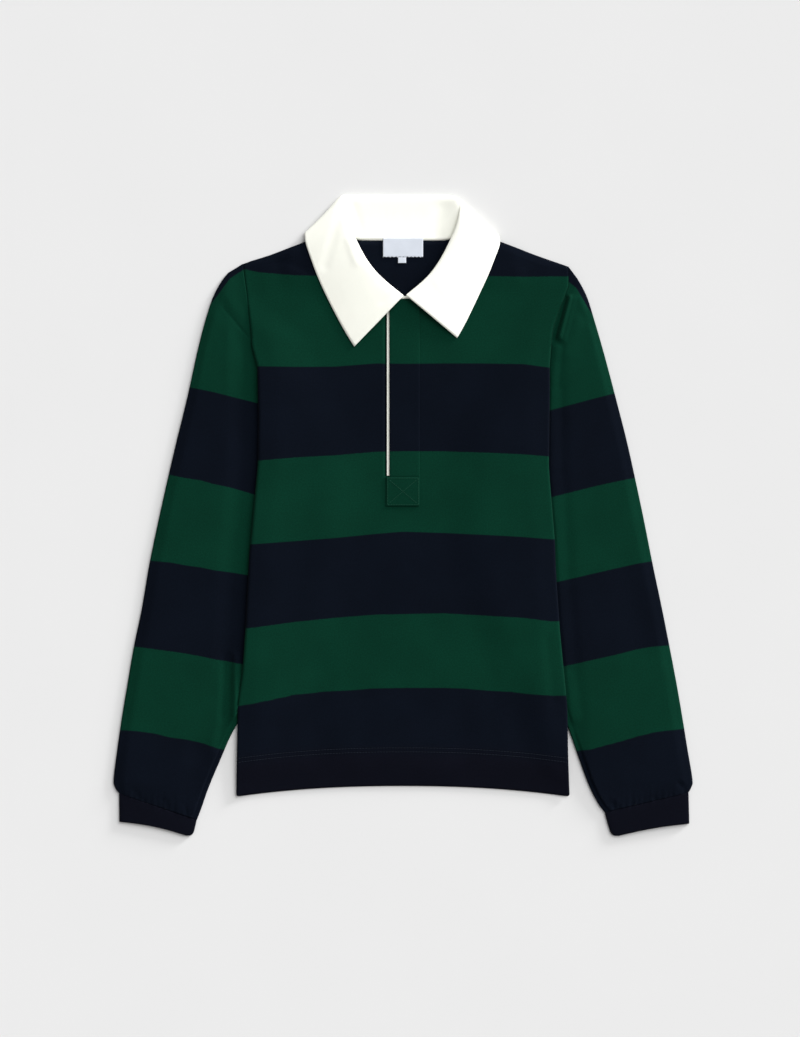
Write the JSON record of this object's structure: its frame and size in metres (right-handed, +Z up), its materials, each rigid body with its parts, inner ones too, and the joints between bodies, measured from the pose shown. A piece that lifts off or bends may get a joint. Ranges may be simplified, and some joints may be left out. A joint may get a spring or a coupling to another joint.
{
  "type": "rugby shirt",
  "caption": "Long-sleeved rugby shirt in wide green and navy stripes with a white collar, laid flat.",
  "frame": {"origin": "middle of the bottom of the box round the shirt as it lies on its back", "axes": "+Z up from the table, +Y from the hem to the collar, +X across the shirt, to the right in a view from above"},
  "size_m": [0.6492, 0.7205, 0.0111],
  "materials": {
    "jersey": "matte cotton jersey in wide green and navy stripes",
    "jersey_navy": "matte navy cotton jersey",
    "collar_twill": "white cotton twill",
    "woven_label": "pale woven satin"
  },
  "bodies": {
    "root": {"front": "jersey", "back": "jersey", "sleeve_left": "jersey", "sleeve_right": "jersey", "cuff_left": "jersey_navy", "cuff_right": "jersey_navy", "collar": "collar_twill", "placket_upper": "jersey", "placket_lower": "collar_twill", "placket_box": "jersey", "label": "woven_label", "size_tab": "woven_label"}
  },
  "joints": []
}
